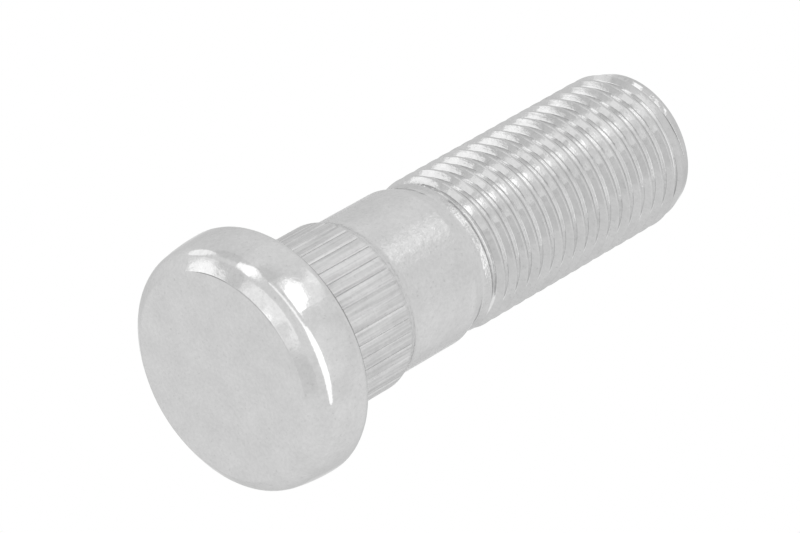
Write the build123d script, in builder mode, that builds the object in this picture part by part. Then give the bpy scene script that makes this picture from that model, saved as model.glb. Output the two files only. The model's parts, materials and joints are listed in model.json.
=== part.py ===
from build123d import *
import os

# Press-in wheel stud: one piece of cold-forged steel with a knurled neck and a rolled M12 fine thread.
# It stands on its head. Z is the stud's axis, and the origin is the centre of the head's end face.
# The thread is shown by its major diameter, without its fine grooves. All sizes are in millimetres.

# Head: a flat end face, a bevel, and a side that bulged where the bar was upset
head_diameter = 18.9
head_thickness = 5.2
face_diameter = 15.75
bevel_depth = 0.95
bevel_diameter = 18.15
head_back_radius = 0.95

# Knurl: straight teeth that bite into the hub's hole, with flat tips and a lead at the far end
knurl_diameter = 13.0
knurl_length = 7.2
knurl_lead_length = 0.9
tooth_count = 40
tooth_gap_depth = 0.34
tooth_gap_mouth = 0.40
tooth_gap_floor = 0.12

# Shank: the plain length that the wheel hangs on, and the cone down to the size the thread is rolled from
shank_diameter = 12.2
shank_length = 6.3
shoulder_radius = 0.6
neck_cone_length = 1.3
neck_diameter = 11.3
neck_length = 0.3

# Thread: its crests rise from the neck, and it ends in a blunt taper and an edge that start the nut
thread_diameter = 12.0
thread_rise_length = 1.4
stud_reach = 38.9
tip_taper_length = 1.55
tip_taper_diameter = 11.0
tip_edge_length = 0.35
tip_diameter = 10.1

# Radii, and heights above the head's end face
head_radius = head_diameter / 2
bevel_radius = bevel_diameter / 2
knurl_radius = knurl_diameter / 2
shank_radius = shank_diameter / 2
neck_radius = neck_diameter / 2
thread_radius = thread_diameter / 2
head_back_edge = head_radius - head_back_radius
bulge_height = head_thickness - head_back_radius
knurl_end = head_thickness + knurl_length
knurl_lead_end = knurl_end + knurl_lead_length
shank_end = knurl_lead_end + shank_length
neck_start = shank_end + neck_cone_length
neck_end = neck_start + neck_length
thread_start = neck_end + thread_rise_length
tip_end = head_thickness + stud_reach
tip_edge_start = tip_end - tip_edge_length
thread_end = tip_edge_start - tip_taper_length

with BuildPart() as wheel_stud:
    # Forged blank: half of its section, turned about the axis
    with BuildSketch(Plane.XZ):
        with BuildLine():
            Polyline((0, tip_end), (0, 0), (face_diameter / 2, 0), (bevel_radius, bevel_depth))
            TangentArc((head_radius, bulge_height), (bevel_radius, bevel_depth), tangent=(0, -1))
            TangentArc((head_radius, bulge_height), (head_back_edge, head_thickness), tangent=(0, 1))
            Polyline(
                (head_back_edge, head_thickness),
                (knurl_radius, head_thickness),
                (knurl_radius, knurl_end),
                (shank_radius, knurl_lead_end),
            )
            FilletPolyline(
                (shank_radius, knurl_lead_end),
                (shank_radius, shank_end),
                (neck_radius, neck_start),
                (neck_radius, neck_end),
                radius=[shoulder_radius, neck_length / 2],
            )
            Polyline(
                (neck_radius, neck_end),
                (thread_radius, thread_start),
                (thread_radius, thread_end),
                (tip_taper_diameter / 2, tip_edge_start),
                (tip_diameter / 2, tip_end),
                (0, tip_end),
            )
        make_face()
    revolve(axis=Axis.Z)

    # Knurl: the gaps between the teeth, which run up to the back of the head
    with BuildSketch(Plane.XY.offset(head_thickness)):
        with PolarLocations(knurl_radius - tooth_gap_depth, tooth_count):
            Polygon(
                (0, -tooth_gap_floor / 2),
                (tooth_gap_depth, -tooth_gap_mouth / 2),
                (2 * tooth_gap_depth, -tooth_gap_mouth / 2),
                (2 * tooth_gap_depth, tooth_gap_mouth / 2),
                (tooth_gap_depth, tooth_gap_mouth / 2),
                (0, tooth_gap_floor / 2),
                align=None,
            )
    extrude(amount=knurl_length + knurl_lead_length, mode=Mode.SUBTRACT)

wheel_stud.part.label = "wheel_stud"

os.makedirs("parts", exist_ok=True)
export_step(wheel_stud.part, "parts/wheel_stud.step")
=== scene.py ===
import json
from math import acos, cos, pi, radians, sin, tan, tau

import bmesh
import bpy
import numpy as np
from mathutils import Matrix, Vector


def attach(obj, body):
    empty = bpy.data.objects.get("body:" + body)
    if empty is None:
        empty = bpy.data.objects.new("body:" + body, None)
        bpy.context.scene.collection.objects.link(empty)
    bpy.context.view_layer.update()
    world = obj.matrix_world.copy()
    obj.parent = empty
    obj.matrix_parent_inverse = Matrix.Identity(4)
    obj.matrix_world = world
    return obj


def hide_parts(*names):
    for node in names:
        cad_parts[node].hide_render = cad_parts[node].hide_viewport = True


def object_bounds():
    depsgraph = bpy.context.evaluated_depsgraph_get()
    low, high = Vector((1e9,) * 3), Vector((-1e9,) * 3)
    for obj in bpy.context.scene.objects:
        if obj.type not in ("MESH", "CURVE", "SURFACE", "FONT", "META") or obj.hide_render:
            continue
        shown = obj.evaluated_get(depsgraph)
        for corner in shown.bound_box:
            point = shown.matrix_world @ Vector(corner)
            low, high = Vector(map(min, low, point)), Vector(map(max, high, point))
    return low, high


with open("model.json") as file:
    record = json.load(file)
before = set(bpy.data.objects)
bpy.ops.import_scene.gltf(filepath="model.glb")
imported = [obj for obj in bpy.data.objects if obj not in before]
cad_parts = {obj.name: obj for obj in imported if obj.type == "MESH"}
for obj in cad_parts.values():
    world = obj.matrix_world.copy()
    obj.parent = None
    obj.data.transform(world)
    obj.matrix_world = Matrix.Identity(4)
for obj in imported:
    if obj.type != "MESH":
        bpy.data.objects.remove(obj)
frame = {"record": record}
cad_low, cad_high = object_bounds()

# Wheel stud: one piece of steel with a cold-forged head, a rolled straight knurl that presses into the
# hub and a rolled M12 x 1.25 thread, all plated with bright zinc. It is turned here from half its
# section. The teeth and the thread are then rolled into that blank by a Geometry Nodes tree.
mm = 0.001
allowance = 0.01 * mm
mounts = {mount["name"]: mount for mount in frame["record"]["mounts"]}

# The head: a flat end face, a bevel, and a side that bulges up to the rounded back
head_radius = cad_high.x
head_thickness = mounts["head_seat"]["pos_m"][2]
head_back_radius = 0.95 * mm
head_back_steps = 8
face_radius = 7.875 * mm
face_rounding = 0.3 * mm
bevel_radius = 9.075 * mm
bevel_depth = 0.95 * mm
bevel_rounding = 1.5 * mm
bulge_height = head_thickness - head_back_radius
bulge_width = head_radius - bevel_radius
bulge_rise = bulge_height - bevel_depth
bulge_radius = (bulge_width**2 + bulge_rise**2) / (2 * bulge_width)
bulge_angle = acos(1 - bulge_width / bulge_radius)
bulge_steps = 5

# The knurl: straight teeth with shallow gaps, each gap of its own depth, and a lead at the far end
knurl_radius = mounts["knurl"]["dims"]["r_mm"] * mm
knurl_end = head_thickness + mounts["knurl"]["dims"]["length_mm"] * mm
knurl_end_rounding = 0.7 * mm
knurl_lead_length = 0.9 * mm
knurl_lead_end = knurl_end + knurl_lead_length
knurl_lead_rounding = 1.2 * mm
tooth_count = 40
gap_depth = 0.13 * mm
gap_depth_shares = (0.5, 1.0)
gap_seed = 7
gap_mouth = 0.34 * mm
gap_floor = 0.06 * mm

# The shank and the neck: the plain length, and the cone down to the size the thread is rolled from
shank_radius = mounts["shank"]["dims"]["r_mm"] * mm
shank_length = 6.3 * mm
shank_end = knurl_lead_end + shank_length
shank_end_rounding = 1.1 * mm
neck_radius = 5.65 * mm
neck_cone_length = 1.3 * mm
neck_start = shank_end + neck_cone_length
neck_length = 0.3 * mm
neck_end = neck_start + neck_length
neck_corner = neck_start + 0.1 * mm
neck_rounding = 0.9 * mm
cone_slope = (shank_radius - neck_radius) / (neck_start - shank_end)
cone_ring = shank_end + 0.4 * mm
cone_ring_radius = shank_radius - cone_slope * (cone_ring - shank_end)

# The thread: a low first crest at the neck, the full crests, and a taper and an edge at the tip
thread_radius = mounts["thread"]["dims"]["r_mm"] * mm
thread_half = mounts["thread"]["dims"]["length_mm"] * mm / 2
thread_start = mounts["thread"]["pos_m"][2] - thread_half
thread_end = mounts["thread"]["pos_m"][2] + thread_half
thread_end_rounding = 0.9 * mm
thread_pitch = 1.25 * mm
thread_depth = 0.50 * thread_pitch
groove_start = 21.1 * mm
first_crest_radius = 5.88 * mm
first_crest_height = 21.9 * mm
first_crest_rounding = 0.3 * mm
full_crest_height = thread_start - 0.2 * mm
full_crest_rounding = 0.6 * mm
tip_end = cad_high.z
tip_radius = 5.05 * mm
tip_rounding = 0.08 * mm
tip_edge_start = tip_end - 0.35 * mm
tip_edge_radius = 5.5 * mm
tip_edge_rounding = 0.2 * mm


def arc(centre, radius, start, end, steps):
    """Points of a section on a circle, from one angle to another, both ends included."""
    angles = np.linspace(start, end, steps + 1)
    return [(centre[0] + radius * cos(a), centre[1] + radius * sin(a), 0) for a in angles]


def rounded(corners, steps):
    """A section's corners, each a radius, a height and a rounding, as points with an arc at each rounding."""
    points = []
    for before, corner, after in zip([corners[0]] + corners, corners, corners[1:] + [corners[-1]]):
        here = Vector(corner[:2])
        rounding = corner[2]
        if rounding == 0:
            points.append(here)
            continue
        back = (Vector(before[:2]) - here).normalized()
        on = (Vector(after[:2]) - here).normalized()
        half_angle = acos(max(-1, min(1, back.dot(on)))) / 2
        middle = here + (back + on).normalized() * rounding / sin(half_angle)
        first = (here + back * rounding / tan(half_angle) - middle).normalized()
        last = (here + on * rounding / tan(half_angle) - middle).normalized()
        for step in range(steps + 1):
            points.append(middle + first.slerp(last, step / steps) * rounding)
    return points


def filled(points, longest):
    """The same section with points added so that no step is longer than the length given."""
    out = [points[0]]
    for start, end in zip(points, points[1:]):
        count = max(1, int(np.ceil((end - start).length / longest)))
        out += [start.lerp(end, step / count) for step in range(1, count + 1)]
    return out


head_section = [
    (0, 0, 0),
    (face_radius, 0, face_rounding),
    (bevel_radius, bevel_depth, bevel_rounding),
    *arc((head_radius - bulge_radius, bulge_height), bulge_radius, -bulge_angle, 0, bulge_steps)[1:],
    *arc((head_radius - head_back_radius, bulge_height), head_back_radius, 0, pi / 2, head_back_steps)[1:],
    (knurl_radius, head_thickness, 0),
    (knurl_radius, knurl_end, knurl_end_rounding),
    (shank_radius, knurl_lead_end, knurl_lead_rounding),
    (shank_radius, shank_end, shank_end_rounding),
    (cone_ring_radius, cone_ring, 0),
]
tip_section = [
    (cone_ring_radius, cone_ring, 0),
    (neck_radius, neck_corner, neck_rounding),
    (first_crest_radius, first_crest_height, first_crest_rounding),
    (thread_radius, full_crest_height, full_crest_rounding),
    (thread_radius, thread_end, thread_end_rounding),
    (tip_edge_radius, tip_edge_start, tip_edge_rounding),
    (tip_radius, tip_end, tip_rounding),
    (0, tip_end, 0),
]
head_corner_steps = 5
tip_corner_steps = 6
longest_step = 0.5 * mm
tip_ring_depth = 0.55 * mm
head_rows = filled(rounded(head_section, head_corner_steps), longest_step)
tip_points = rounded(tip_section, tip_corner_steps)
lower_ring = head_rows[-1].y
upper_ring = tip_end - tip_ring_depth
envelope = np.array([point for point in tip_points if point.y < tip_end - allowance])
tip_rows = filled([point for point in tip_points if point.y > upper_ring], longest_step)

# Columns stand at the floor, on the curve and at the mouth of the knurl's gaps and in the middle of each
# tooth. Rows along the thread climb with it, on both sides of the edges of its root, knee and crest, and
# stop at a ring at either end.
gap_columns = radians(1) * np.array([-1.5, -1.1, -0.3, 0.3, 1.1, 1.5, 4.5])
gap_angles = np.arange(tooth_count + 1) * tau / tooth_count
columns = np.sort((gap_angles[:, None] + gap_columns).ravel())
seam_gap = 0.001
columns = np.concatenate([[0], columns[(columns > seam_gap) & (columns < tau - seam_gap)], [tau]])
thread_shares = np.array([0.105, 0.14, 0.19, 0.215, 0.425, 0.445, 0.555, 0.575, 0.785, 0.81, 0.86, 0.895])
spare_turns = 2
whole_turns = int((upper_ring - groove_start) / thread_pitch)
turns = np.arange(-spare_turns, whole_turns + spare_turns)
climb = (groove_start + thread_pitch * (turns[:, None] + thread_shares)).ravel()


def level_rows(points):
    """Rows of the grid that run level round the stud, one for each point of a section."""
    return [np.tile([point.x, point.y], (len(columns), 1)) for point in points]


rows = level_rows(head_rows)
for row_start in climb:
    heights = np.clip(row_start + thread_pitch * columns / tau, lower_ring, upper_ring)
    rows.append(np.column_stack([np.interp(heights, envelope[:, 1], envelope[:, 0]), heights]))
rows += level_rows(tip_rows)
grid = np.array(rows)
spots = np.stack([grid[:, :, 0] * np.cos(columns), grid[:, :, 0] * np.sin(columns), grid[:, :, 1]], axis=-1)
row_count, column_count = grid.shape[:2]
index = np.arange(row_count * column_count).reshape(row_count, column_count)
quads = np.stack([index[:-1, :-1], index[:-1, 1:], index[1:, 1:], index[1:, :-1]], axis=-1).reshape(-1, 4)
stud_mesh = bpy.data.meshes.new("stud blank")
stud_mesh.vertices.add(spots.size // 3)
stud_mesh.vertices.foreach_set("co", spots.ravel())
stud_mesh.loops.add(quads.size)
stud_mesh.loops.foreach_set("vertex_index", quads.ravel())
stud_mesh.polygons.add(len(quads))
stud_mesh.polygons.foreach_set("loop_start", np.arange(0, quads.size, 4))
stud_mesh.update(calc_edges=True)
merge_distance = 0.004 * mm
shell = bmesh.new()
shell.from_mesh(stud_mesh)
bmesh.ops.remove_doubles(shell, verts=shell.verts, dist=merge_distance)
bmesh.ops.recalc_face_normals(shell, faces=shell.faces)
shell.to_mesh(stud_mesh)
shell.free()
stud = bpy.data.objects.new("dressed_wheel_stud", stud_mesh)
bpy.context.scene.collection.objects.link(stud)

rising = (0.0, 1.0)
falling = (1.0, 0.0)


def plug(tree, socket, value):
    """Links a socket to a field, or sets it to a plain value."""
    if isinstance(value, bpy.types.NodeSocket):
        tree.links.new(value, socket)
    else:
        socket.default_value = value


def add_math(tree, operation, *values):
    node = tree.nodes.new("ShaderNodeMath")
    node.operation = operation
    for socket, value in zip(node.inputs, values):
        plug(tree, socket, value)
    return node.outputs[0]


def add_ramp(tree, value, span, goals, curve="LINEAR"):
    """A value mapped from the span's ends to the two goals, and held beyond them."""
    node = tree.nodes.new("ShaderNodeMapRange")
    node.interpolation_type = curve
    for socket, plugged in zip(node.inputs, (value, *span, *goals)):
        plug(tree, socket, plugged)
    return node.outputs[0]


def add_noise(tree, place, scale, detail, roughness):
    node = tree.nodes.new("ShaderNodeTexNoise")
    plug(tree, node.inputs["Vector"], place)
    plug(tree, node.inputs["Scale"], scale)
    plug(tree, node.inputs["Detail"], detail)
    plug(tree, node.inputs["Roughness"], roughness)
    return node.outputs["Fac"]


rolling = bpy.data.node_groups.new("roll teeth and thread", "GeometryNodeTree")
rolling.interface.new_socket("Blank", in_out="INPUT", socket_type="NodeSocketGeometry")
rolled_sizes = {
    "Tooth count": tooth_count,
    "Knurl radius": knurl_radius,
    "Knurl start": head_thickness,
    "Knurl end": knurl_lead_end,
    "Gap depth": gap_depth,
    "Gap mouth": gap_mouth,
    "Gap floor": gap_floor,
    "Thread radius": thread_radius,
    "Thread pitch": thread_pitch,
    "Thread depth": thread_depth,
    "Groove start": groove_start,
    "Run-in start": 20.9 * mm,
    "Run-in end": 21.9 * mm,
    "Crest share": 0.13,
    "Root share": 0.2512,
    "Knee share": 0.4026,
    "Knee depth": 0.66,
    "Tip fade start": 43.0 * mm,
    "Tip fade end": upper_ring,
    "Forged waves": 0.035 * mm,
    "Forged dimples": 0.006 * mm,
}
size_sockets = {}
for name in rolled_sizes:
    size_sockets[name] = rolling.interface.new_socket(name, in_out="INPUT", socket_type="NodeSocketFloat")
seed_socket = rolling.interface.new_socket("Seed", in_out="INPUT", socket_type="NodeSocketInt")
rolling.interface.new_socket("Stud", in_out="OUTPUT", socket_type="NodeSocketGeometry")
given = rolling.nodes.new("NodeGroupInput").outputs
place = rolling.nodes.new("GeometryNodeInputPosition").outputs[0]
place_axes = rolling.nodes.new("ShaderNodeSeparateXYZ")
rolling.links.new(place, place_axes.inputs[0])
side_x, side_y, height = place_axes.outputs
angle = add_math(rolling, "ARCTAN2", side_y, side_x)
square_x = add_math(rolling, "POWER", side_x, 2)
square_y = add_math(rolling, "POWER", side_y, 2)
blank_radius = add_math(rolling, "SQRT", add_math(rolling, "ADD", square_x, square_y))

# The knurl's gaps: which gap is nearest, how far off its middle is, and how deep it is there
tooth_angle = add_math(rolling, "DIVIDE", tau, given["Tooth count"])
gap_turn = add_math(rolling, "DIVIDE", angle, tooth_angle)
gap_number = add_math(rolling, "ROUND", gap_turn)
gap_side = add_math(rolling, "ABSOLUTE", add_math(rolling, "SUBTRACT", gap_turn, gap_number))
tooth_width = add_math(rolling, "MULTIPLY", tooth_angle, given["Knurl radius"])
gap_distance = add_math(rolling, "MULTIPLY", gap_side, tooth_width)
chance = rolling.nodes.new("FunctionNodeRandomValue")
chance.data_type = "FLOAT"
plug(rolling, chance.inputs[2], gap_depth_shares[0])
plug(rolling, chance.inputs[3], gap_depth_shares[1])
plug(rolling, chance.inputs["ID"], add_math(rolling, "FLOORED_MODULO", gap_number, given["Tooth count"]))
plug(rolling, chance.inputs["Seed"], given["Seed"])
own_depth = add_math(rolling, "MULTIPLY", given["Gap depth"], chance.outputs[1])
floor_edge = add_math(rolling, "MULTIPLY", given["Gap floor"], 0.5)
mouth_edge = add_math(rolling, "MULTIPLY", given["Gap mouth"], 0.5)
gap_slope = add_ramp(rolling, gap_distance, (floor_edge, mouth_edge), falling)
gap_cut = add_math(rolling, "MULTIPLY", own_depth, add_math(rolling, "POWER", gap_slope, 2.0))
knurl_foot = add_math(rolling, "SUBTRACT", given["Knurl start"], allowance)
after_head = add_math(rolling, "GREATER_THAN", height, knurl_foot)
before_shank = add_math(rolling, "LESS_THAN", height, given["Knurl end"])
along_knurl = add_math(rolling, "MULTIPLY", after_head, before_shank)
tooth_top = add_math(rolling, "ADD", given["Knurl radius"], allowance)
within_teeth = add_math(rolling, "LESS_THAN", blank_radius, tooth_top)
on_knurl = add_math(rolling, "MULTIPLY", along_knurl, within_teeth)
knurl_cut = add_math(rolling, "MULTIPLY", gap_cut, on_knurl)
gap_radius = add_math(rolling, "SUBTRACT", given["Knurl radius"], knurl_cut)
gap_excess = add_math(rolling, "MAXIMUM", add_math(rolling, "SUBTRACT", blank_radius, gap_radius), 0.0)
gap_sink = add_math(rolling, "MULTIPLY", gap_excess, on_knurl)

# The thread's groove: how far along the pitch a spot is from the groove's middle, and how deep it is there
past_start = add_math(rolling, "SUBTRACT", height, given["Groove start"])
climbed = add_math(rolling, "DIVIDE", past_start, given["Thread pitch"])
phase = add_math(rolling, "SUBTRACT", climbed, add_math(rolling, "DIVIDE", angle, tau))
turn_share = add_math(rolling, "FRACT", add_math(rolling, "ADD", phase, 0.5))
centred = add_math(rolling, "SUBTRACT", turn_share, 0.5)
off_groove = add_math(rolling, "ABSOLUTE", centred)
root_edge = add_math(rolling, "MULTIPLY", given["Root share"], 0.5)
crest_edge = add_math(rolling, "SUBTRACT", 0.5, add_math(rolling, "MULTIPLY", given["Crest share"], 0.5))
knee_edge = add_math(rolling, "MULTIPLY", given["Knee share"], 0.5)
below_knee = add_math(rolling, "SUBTRACT", 1.0, given["Knee depth"])
upper_flank = add_ramp(rolling, off_groove, (knee_edge, crest_edge), (given["Knee depth"], 0.0))
lower_flank = add_ramp(rolling, off_groove, (root_edge, knee_edge), (below_knee, 0.0))
sunk = add_math(rolling, "ADD", upper_flank, lower_flank)
run_in = add_ramp(rolling, height, (given["Run-in start"], given["Run-in end"]), rising)
run_out = add_ramp(rolling, height, (given["Tip fade start"], given["Tip fade end"]), falling)
groove_share = add_math(rolling, "MULTIPLY", add_math(rolling, "MULTIPLY", sunk, run_in), run_out)
groove_cut = add_math(rolling, "MULTIPLY", groove_share, given["Thread depth"])
groove_radius = add_math(rolling, "SUBTRACT", given["Thread radius"], groove_cut)
past_neck = add_math(rolling, "GREATER_THAN", height, given["Run-in start"])
groove_excess = add_math(rolling, "MAXIMUM", add_math(rolling, "SUBTRACT", blank_radius, groove_radius), 0.0)
groove_sink = add_math(rolling, "MULTIPLY", groove_excess, past_neck)

# The rolled radius, with the slight unevenness of forging over it
sink = add_math(rolling, "ADD", gap_sink, groove_sink)
shrink = add_math(rolling, "DIVIDE", sink, add_math(rolling, "MAXIMUM", blank_radius, allowance))
inward_share = add_math(rolling, "MULTIPLY", shrink, -1.0)
inward = rolling.nodes.new("ShaderNodeCombineXYZ")
plug(rolling, inward.inputs[0], add_math(rolling, "MULTIPLY", side_x, inward_share))
plug(rolling, inward.inputs[1], add_math(rolling, "MULTIPLY", side_y, inward_share))
wave_noise = add_noise(rolling, place, scale=260.0, detail=1.0, roughness=0.5)
dimple_noise = add_noise(rolling, place, scale=1100.0, detail=1.0, roughness=0.5)
waves = add_math(rolling, "SUBTRACT", wave_noise, 0.5)
dimples = add_math(rolling, "SUBTRACT", dimple_noise, 0.5)
wave_swell = add_math(rolling, "MULTIPLY", waves, given["Forged waves"])
dimple_swell = add_math(rolling, "MULTIPLY", dimples, given["Forged dimples"])
outward = rolling.nodes.new("ShaderNodeVectorMath")
outward.operation = "SCALE"
rolling.links.new(rolling.nodes.new("GeometryNodeInputNormal").outputs[0], outward.inputs[0])
rolling.links.new(add_math(rolling, "ADD", wave_swell, dimple_swell), outward.inputs["Scale"])
shift = rolling.nodes.new("ShaderNodeVectorMath")
shift.operation = "ADD"
rolling.links.new(inward.outputs[0], shift.inputs[0])
rolling.links.new(outward.outputs[0], shift.inputs[1])


def add_mark(geometry, name, value):
    """Writes a field on the points, for the material to read, and hands the geometry on."""
    node = rolling.nodes.new("GeometryNodeStoreNamedAttribute")
    node.data_type = "FLOAT"
    node.domain = "POINT"
    node.inputs["Name"].default_value = name
    rolling.links.new(geometry, node.inputs["Geometry"])
    rolling.links.new(value, node.inputs["Value"])
    return node.outputs[0]


# How deep a spot was rolled, and the same for only those flanks of the groove that face the tip; the material
# reads these for its painted light on the flanks and in the gaps and its painted shade at the root
gap_mark = add_math(rolling, "DIVIDE", gap_sink, given["Gap depth"])
groove_mark = add_math(rolling, "DIVIDE", groove_sink, given["Thread depth"])
deepest_mark = add_math(rolling, "MAXIMUM", gap_mark, groove_mark)
faces_tip = add_math(rolling, "LESS_THAN", centred, 0.0)
far_mark = add_math(rolling, "MULTIPLY", groove_mark, faces_tip)
marked = add_mark(given["Blank"], "rolled depth", deepest_mark)
marked = add_mark(marked, "far flank depth", far_mark)
press = rolling.nodes.new("GeometryNodeSetPosition")
rolling.links.new(marked, press.inputs["Geometry"])
rolling.links.new(shift.outputs[0], press.inputs["Offset"])
real = rolling.nodes.new("GeometryNodeRealizeInstances")
rolling.links.new(press.outputs[0], real.inputs[0])
plated = rolling.nodes.new("GeometryNodeSetMaterial")
rolling.links.new(real.outputs[0], plated.inputs["Geometry"])
rolling.links.new(plated.outputs[0], rolling.nodes.new("NodeGroupOutput").inputs[0])

# Bright zinc: a neutral grey plate, satin on the forged skin, with cloudy patches, fine grain and pits
zinc = bpy.data.materials.new("zinc plated steel")
zinc.use_nodes = True
finish = zinc.node_tree
plate = finish.nodes["Principled BSDF"]
plate.inputs["Metallic"].default_value = 1.0
plate.inputs["Specular Tint"].default_value = (0.75, 0.75, 0.75, 1)
spot = finish.nodes.new("ShaderNodeTexCoord").outputs["Object"]
spot_axes = finish.nodes.new("ShaderNodeSeparateXYZ")
finish.links.new(spot, spot_axes.inputs[0])
along_axis = spot_axes.outputs["Z"]


def read_mark(name):
    """A field that the rolling wrote on the points."""
    node = finish.nodes.new("ShaderNodeAttribute")
    node.attribute_name = name
    return node.outputs["Fac"]


def add_band(low, high, blend):
    """A mask that is one between two heights on the stud and fades out beyond them."""
    rise = add_ramp(finish, along_axis, (low - blend, low), rising)
    fall = add_ramp(finish, along_axis, (high, high + blend), falling)
    return add_math(finish, "MULTIPLY", rise, fall)


def add_streaks(scale, stretch):
    """Noise drawn out along or round the stud."""
    squeeze = finish.nodes.new("ShaderNodeMapping")
    squeeze.inputs["Scale"].default_value = stretch
    finish.links.new(spot, squeeze.inputs["Vector"])
    return add_noise(finish, squeeze.outputs[0], scale, detail=2.0, roughness=0.5)


rolled_depth = read_mark("rolled depth")
far_depth = read_mark("far flank depth")
shank_skin_end = shank_end - 0.3 * mm
run_in_skin_end = first_crest_height + 0.1 * mm
on_shank = add_band(knurl_lead_end, shank_skin_end, blend=0.6 * mm)
on_teeth = add_band(head_thickness, knurl_end, blend=0.3 * mm)
on_thread = add_band(neck_end, tip_end, blend=0.3 * mm)
on_run_in = add_band(neck_corner, run_in_skin_end, blend=0.2 * mm)
past_first_turn = add_band(thread_start, tip_end, blend=0.2 * mm)

# The plate's grey: clouds and grain, painted light on the groove's flanks and in the gaps that lifts the
# shade between them, darker in the pits, painted shade at the groove's root, and fine lines drawn along the
# teeth
noise_span = (0.3, 0.7)
cloud_greys = (0.585, 0.64)
grain_greys = (-0.025, 0.025)
near_depths = (0.62, 0.72)
near_painted_light_levels = (1.26, 1.42)
far_depths = (0.25, 0.55)
far_painted_light_most = 1.25
root_depths = (0.91, 1.0)
root_painted_shade_least = 0.55
gap_depths = (0.3, 0.7)
gap_painted_light_most = 1.1
thread_least = 0.91
teeth_least = 0.95
pit_span = (0.66, 0.74)
pit_least = 0.9
score_span = (0.35, 0.65)
score_greys = (-0.06, 0.06)
cloud = add_noise(finish, spot, scale=420.0, detail=3.0, roughness=0.6)
grain = add_noise(finish, spot, scale=3600.0, detail=2.0, roughness=0.6)
cloud_grey = add_ramp(finish, cloud, noise_span, cloud_greys)
grain_grey = add_ramp(finish, grain, noise_span, grain_greys)
groove_depth = add_math(finish, "MULTIPLY", rolled_depth, on_thread)
# Painted light: the deep part of the groove, and the flanks that face the tip, are made paler to lift the
# shade between the flanks
near_painted_light_most = add_ramp(finish, past_first_turn, rising, near_painted_light_levels)
near_painted_light = add_ramp(finish, groove_depth, near_depths, (1.0, near_painted_light_most))
far_painted_light = add_ramp(finish, far_depth, far_depths, (1.0, far_painted_light_most))
flank_painted_light = add_math(finish, "MAXIMUM", near_painted_light, far_painted_light)
# Painted light: the knurl's gaps are made paler to lift the shade in them
tooth_depth = add_math(finish, "MULTIPLY", rolled_depth, on_teeth)
gap_painted_light = add_ramp(finish, tooth_depth, gap_depths, (1.0, gap_painted_light_most))
painted_light_in_grooves = add_math(finish, "MULTIPLY", flank_painted_light, gap_painted_light)
# Painted shade: a darker line at the groove's root
root_painted_shade = add_ramp(finish, groove_depth, root_depths, (1.0, root_painted_shade_least))
thread_loss = add_ramp(finish, on_thread, rising, (1.0, thread_least))
teeth_loss = add_ramp(finish, on_teeth, rising, (1.0, teeth_least))
pit_noise = add_noise(finish, spot, scale=4200.0, detail=1.0, roughness=0.5)
pit_loss = add_ramp(finish, pit_noise, pit_span, (1.0, pit_least))
shade = add_math(finish, "ADD", cloud_grey, grain_grey)
for factor in (painted_light_in_grooves, root_painted_shade, thread_loss, teeth_loss, pit_loss):
    shade = add_math(finish, "MULTIPLY", shade, factor)
scores = add_ramp(finish, add_streaks(scale=5200.0, stretch=(1, 1, 0.03)), score_span, score_greys)
shade = add_math(finish, "ADD", shade, add_math(finish, "MULTIPLY", scores, on_teeth))
grey = finish.nodes.new("ShaderNodeCombineColor")
for channel in grey.inputs:
    finish.links.new(shade, channel)
finish.links.new(grey.outputs[0], plate.inputs["Base Color"])

# The plate's roughness: cloudy, a little glossier on the thread and dull on the teeth
dullness_range = (0.08, 0.13)
thread_dullness = -0.04
teeth_dullness = 0.32
dullness_noise = add_noise(finish, spot, scale=700.0, detail=3.0, roughness=0.6)
dullness = add_ramp(finish, dullness_noise, noise_span, dullness_range)
dullness = add_math(finish, "ADD", dullness, add_math(finish, "MULTIPLY", on_thread, thread_dullness))
dullness = add_math(finish, "ADD", dullness, add_math(finish, "MULTIPLY", on_teeth, teeth_dullness))
finish.links.new(dullness, plate.inputs["Roughness"])

# The plate's skin: most uneven on the shank and the first turn, with fine lines along the teeth and
# round the thread
peel_levels = (0.8, 6.0)
run_in_peel = 7.0
turned_share = 0.5
shank_peel = add_ramp(finish, on_shank, rising, peel_levels)
peel_height = add_math(finish, "ADD", shank_peel, add_math(finish, "MULTIPLY", on_run_in, run_in_peel))
peel_noise = add_noise(finish, spot, scale=2000.0, detail=4.0, roughness=0.65)
peel = add_math(finish, "MULTIPLY", add_math(finish, "SUBTRACT", peel_noise, 0.5), peel_height)
drawn = add_math(finish, "MULTIPLY", add_streaks(scale=4200.0, stretch=(1, 1, 0.05)), on_teeth)
turned = add_math(finish, "MULTIPLY", add_streaks(scale=7000.0, stretch=(0.06, 0.06, 1)), on_thread)
tool_lines = add_math(finish, "ADD", drawn, add_math(finish, "MULTIPLY", turned, turned_share))
skin_bump = finish.nodes.new("ShaderNodeBump")
skin_bump.inputs["Strength"].default_value = 0.5
skin_bump.inputs["Distance"].default_value = 0.02 * mm
finish.links.new(add_math(finish, "ADD", peel, tool_lines), skin_bump.inputs["Height"])
finish.links.new(skin_bump.outputs[0], plate.inputs["Normal"])
plated.inputs["Material"].default_value = zinc

roller = stud.modifiers.new("roll teeth and thread", "NODES")
roller.node_group = rolling
for name, size in rolled_sizes.items():
    roller[size_sockets[name].identifier] = float(size)
roller[seed_socket.identifier] = gap_seed
rolled = stud.evaluated_get(bpy.context.evaluated_depsgraph_get())
stud.data = bpy.data.meshes.new_from_object(rolled)
stud.modifiers.remove(roller)
crease_angle = radians(50)
stud.data.shade_smooth()
stud.data.set_sharp_from_angle(angle=crease_angle)


def read_all(items, name, kind, width=1):
    """One property of all items of a mesh as an array, with a row for each item if it has several values."""
    values = np.empty(len(items) * width, dtype=kind)
    items.foreach_get(name, values)
    return values if width == 1 else values.reshape(-1, width)


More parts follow.
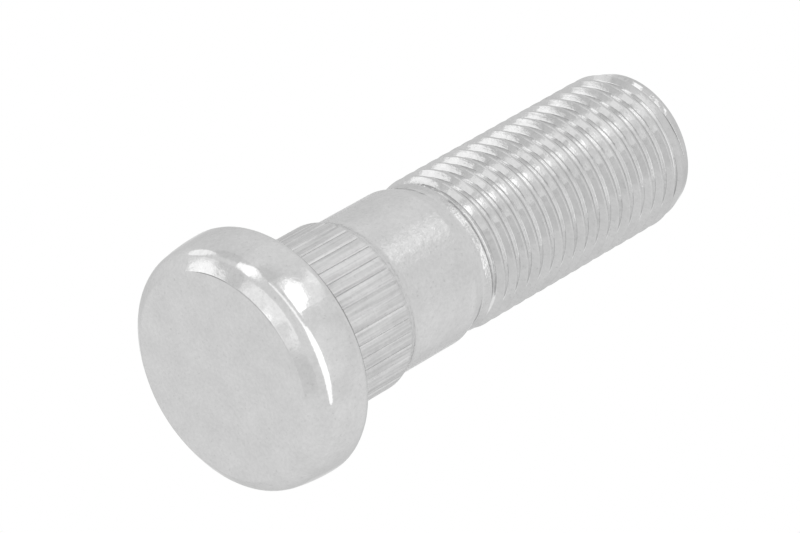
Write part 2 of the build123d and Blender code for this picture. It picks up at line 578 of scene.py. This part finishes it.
# The broad faces keep their own direction, and the narrow ones between them round the edges
faces, corners, edges = stud.data.polygons, stud.data.loops, stud.data.edges
corner_points = read_all(corners, "vertex_index", int)
corner_ways = read_all(stud.data.corner_normals, "vector", float, 3)
face_ways = read_all(faces, "normal", float, 3) * read_all(faces, "area", float)[:, None]
point_ways = np.zeros((len(stud.data.vertices), 3))
np.add.at(point_ways, corner_points, np.repeat(face_ways, read_all(faces, "loop_total", int), axis=0))
point_ways /= np.linalg.norm(point_ways, axis=1)[:, None]
sharp_edges = read_all(edges, "use_edge_sharp", bool)
sharp_points = np.unique(read_all(edges, "vertices", int, 2)[sharp_edges])
soft_corners = ~np.isin(corner_points, sharp_points)
corner_ways[soft_corners] = point_ways[corner_points[soft_corners]]
stud.data.normals_split_custom_set(corner_ways)
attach(stud, "root")
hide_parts("wheel_stud")

# Floor: a plain pale sheet that the stud stands on. The photograph looks at the head from below it, so
# the sheet is clear from underneath and hides nothing from the lamps and the metal.
floor_half = 0.3
floor_height = -0.02 * mm
floor_mesh = bpy.data.meshes.new("floor")
floor_corners = [(-1, -1), (1, -1), (1, 1), (-1, 1)]
floor_points = [(x * floor_half, y * floor_half, floor_height) for x, y in floor_corners]
floor_mesh.from_pydata(floor_points, [], [(0, 1, 2, 3)])
floor = bpy.data.objects.new("floor", floor_mesh)
bpy.context.scene.collection.objects.link(floor)
floor.visible_diffuse = False
floor.visible_glossy = False
floor.visible_transmission = False
floor.visible_shadow = False
paper = bpy.data.materials.new("pale floor")
paper.use_nodes = True
paper_tree = paper.node_tree
paper_face = paper_tree.nodes["Principled BSDF"]
paper_face.inputs["Base Color"].default_value = (0.92, 0.92, 0.92, 1)
paper_face.inputs["Roughness"].default_value = 0.9
paper_clear = paper_tree.nodes.new("ShaderNodeBsdfTransparent")
paper_way = paper_tree.nodes.new("ShaderNodeNewGeometry")
paper_side = paper_tree.nodes.new("ShaderNodeMixShader")
paper_tree.links.new(paper_way.outputs["Backfacing"], paper_side.inputs[0])
paper_tree.links.new(paper_face.outputs[0], paper_side.inputs[1])
paper_tree.links.new(paper_clear.outputs[0], paper_side.inputs[2])
paper_tree.links.new(paper_side.outputs[0], paper_tree.nodes["Material Output"].inputs["Surface"])
floor_mesh.materials.append(paper)

# Camera: a long lens that looks up at the head's end face, with the stud lying across the picture.
# Its place, tilt, roll and lens were fitted to the photograph together with the stud's outline.
camera_tilt = radians(50.3781)
camera_roll = radians(60.2798)
camera_place = Vector((-0.000560, -0.330001, -0.254414))
camera_back = Vector((0, -sin(camera_tilt), -cos(camera_tilt)))
across = Vector((1, 0, 0))
upright = camera_back.cross(across)
camera_right = across * cos(camera_roll) + upright * sin(camera_roll)
camera_up = upright * cos(camera_roll) - across * sin(camera_roll)
camera_data = bpy.data.cameras.new("camera")
camera_data.sensor_width = 36
camera_data.lens = 271.64
camera = bpy.data.objects.new("camera", camera_data)
bpy.context.scene.collection.objects.link(camera)
camera_turn = Matrix((camera_right, camera_up, camera_back)).transposed()
camera.matrix_world = Matrix.Translation(camera_place) @ camera_turn.to_4x4()
bpy.context.scene.camera = camera

# Studio light: white all round, with soft boxes that the plate mirrors as its bright patches. Each box
# is given by the way to it in the picture, to the right, up and back towards the camera, by the way its
# long side runs, by its length and width as the stud sees them in degrees, and by its brightness.
stud_middle = Vector((0, 0, 20 * mm))
box_distance = 0.5
soft_boxes = {
    "top": ((0.475, 0.745, 0.455), (-0.24, 0.31, -0.33), 32, 13, 0.80),
    "top_soft": ((0.58, 0.74, 0.35), (0.44, 0.10, -0.89), 24, 22, 0.18),
    "shank": ((0.55, 0.83, 0.05), (0.44, 0.10, -0.89), 20, 14, 0.26),
    "overhead": ((-0.36, 0.81, 0.44), (0.70, 0.58, -0.43), 50, 19, 0.70),
    "left": ((-0.945, 0.295, 0.14), (0.18, -0.03, 0.98), 34, 12, 0.58),
    "left_high": ((-0.89, 0.45, 0.07), (0.15, 0.12, 0.98), 20, 10, 0.22),
    "band": ((-0.595, -0.015, 0.805), (-0.064, 0.083, -0.055), 11, 7, 0.72),
    "oval": ((-0.78, 0.225, 0.585), (-0.064, 0.083, -0.055), 5, 7, 0.30),
    "left_back": ((-0.70, 0.67, -0.24), (1, 0, 0), 26, 24, 0.45),
    "front": ((0.73, -0.13, 0.67), (-0.24, 0.91, 0.43), 70, 28, 0.75),
    "front_thin": ((0.26, 0.60, 0.76), (-0.49, 0.52, -0.30), 48, 10, 0.50),
    "front_left": ((-0.545, 0.0, 0.838), (-0.54, 0.78, -0.31), 44, 30, 0.28),
    "right": ((0.88, 0.05, 0.42), (0, 1, 0), 40, 30, 0.06),
}


def in_picture(way):
    """A way given in the picture as a direction in the stud's frame."""
    return (camera_right * way[0] + camera_up * way[1] + camera_back * way[2]).normalized()


for name, (way, run, length, width, brightness) in soft_boxes.items():
    lamp = bpy.data.lights.new("soft_box_" + name, "AREA")
    lamp.shape = "ELLIPSE"
    lamp.size = 2 * box_distance * tan(radians(length) / 2)
    lamp.size_y = 2 * box_distance * tan(radians(width) / 2)
    lamp.energy = brightness * pi * pi / 4 * lamp.size * lamp.size_y
    soft_box = bpy.data.objects.new("soft_box_" + name, lamp)
    bpy.context.scene.collection.objects.link(soft_box)
    toward = in_picture(way)
    sideways = toward.cross(in_picture(run)).normalized()
    box_turn = Matrix((sideways.cross(toward), sideways, toward)).transposed()
    soft_box.matrix_world = Matrix.Translation(stud_middle + toward * box_distance) @ box_turn.to_4x4()
    soft_box.visible_camera = False

world = bpy.data.worlds.new("studio")
bpy.context.scene.world = world
world.use_nodes = True
sky = world.node_tree
hidden_level = 0.8
seen_level = 1.0
ray = sky.nodes.new("ShaderNodeLightPath").outputs
mirrored = add_math(sky, "MAXIMUM", ray["Is Glossy Ray"], ray["Is Transmission Ray"])
seen = add_math(sky, "MAXIMUM", ray["Is Camera Ray"], mirrored)
level = add_ramp(sky, seen, rising, (hidden_level, seen_level))

# Grey openings between the soft boxes, which the plate mirrors as its darker patches: the way to each in
# the picture, the half angles of its core and of its soft edge in degrees, and how much darker it is.
openings = {
    "under front": ((-0.20, -0.57, 0.78), 8, 16, 0.10),
    "beside top": ((0.08, 0.91, 0.26), 8, 14, 0.16),
    "between left boxes": ((-0.82, 0.42, 0.39), 8, 16, 0.14),
    "upper left": ((-0.36, 0.92, -0.02), 12, 20, 0.14),
    "back": ((-0.25, 0.85, -0.42), 12, 22, 0.04),
    "right": ((0.96, 0.24, 0.10), 14, 26, 0.05),
    "below": ((0.74, -0.50, -0.46), 15, 35, -0.05),
    "left edge": ((-0.98, 0.08, 0.15), 8, 12, 0.45),
    "above band": ((-0.64, 0.08, 0.765), 2, 3.5, 0.35),
    "below band": ((-0.47, -0.145, 0.872), 4.5, 6.5, 0.25),
    "under left": ((-0.385, -0.30, 0.873), 4, 6.5, 0.16),
    "low left": ((-0.95, -0.14, 0.30), 8, 18, 0.18),
    "low front left": ((-0.84, -0.32, 0.44), 8, 18, 0.15),
}
outlook = sky.nodes.new("ShaderNodeTexCoord").outputs["Generated"]
for way, core, edge, darker in openings.values():
    facing = sky.nodes.new("ShaderNodeVectorMath")
    facing.operation = "DOT_PRODUCT"
    sky.links.new(outlook, facing.inputs[0])
    facing.inputs[1].default_value = in_picture(way)
    soft_edge = (cos(radians(edge)), cos(radians(core)))
    dip = add_ramp(sky, facing.outputs["Value"], soft_edge, (0.0, darker), "SMOOTHSTEP")
    level = add_math(sky, "SUBTRACT", level, add_math(sky, "MULTIPLY", dip, ray["Is Glossy Ray"]))
sky.nodes["Background"].inputs["Color"].default_value = (1, 1, 1, 1)
sky.links.new(level, sky.nodes["Background"].inputs["Strength"])

bpy.context.scene.view_settings.view_transform = "Standard"
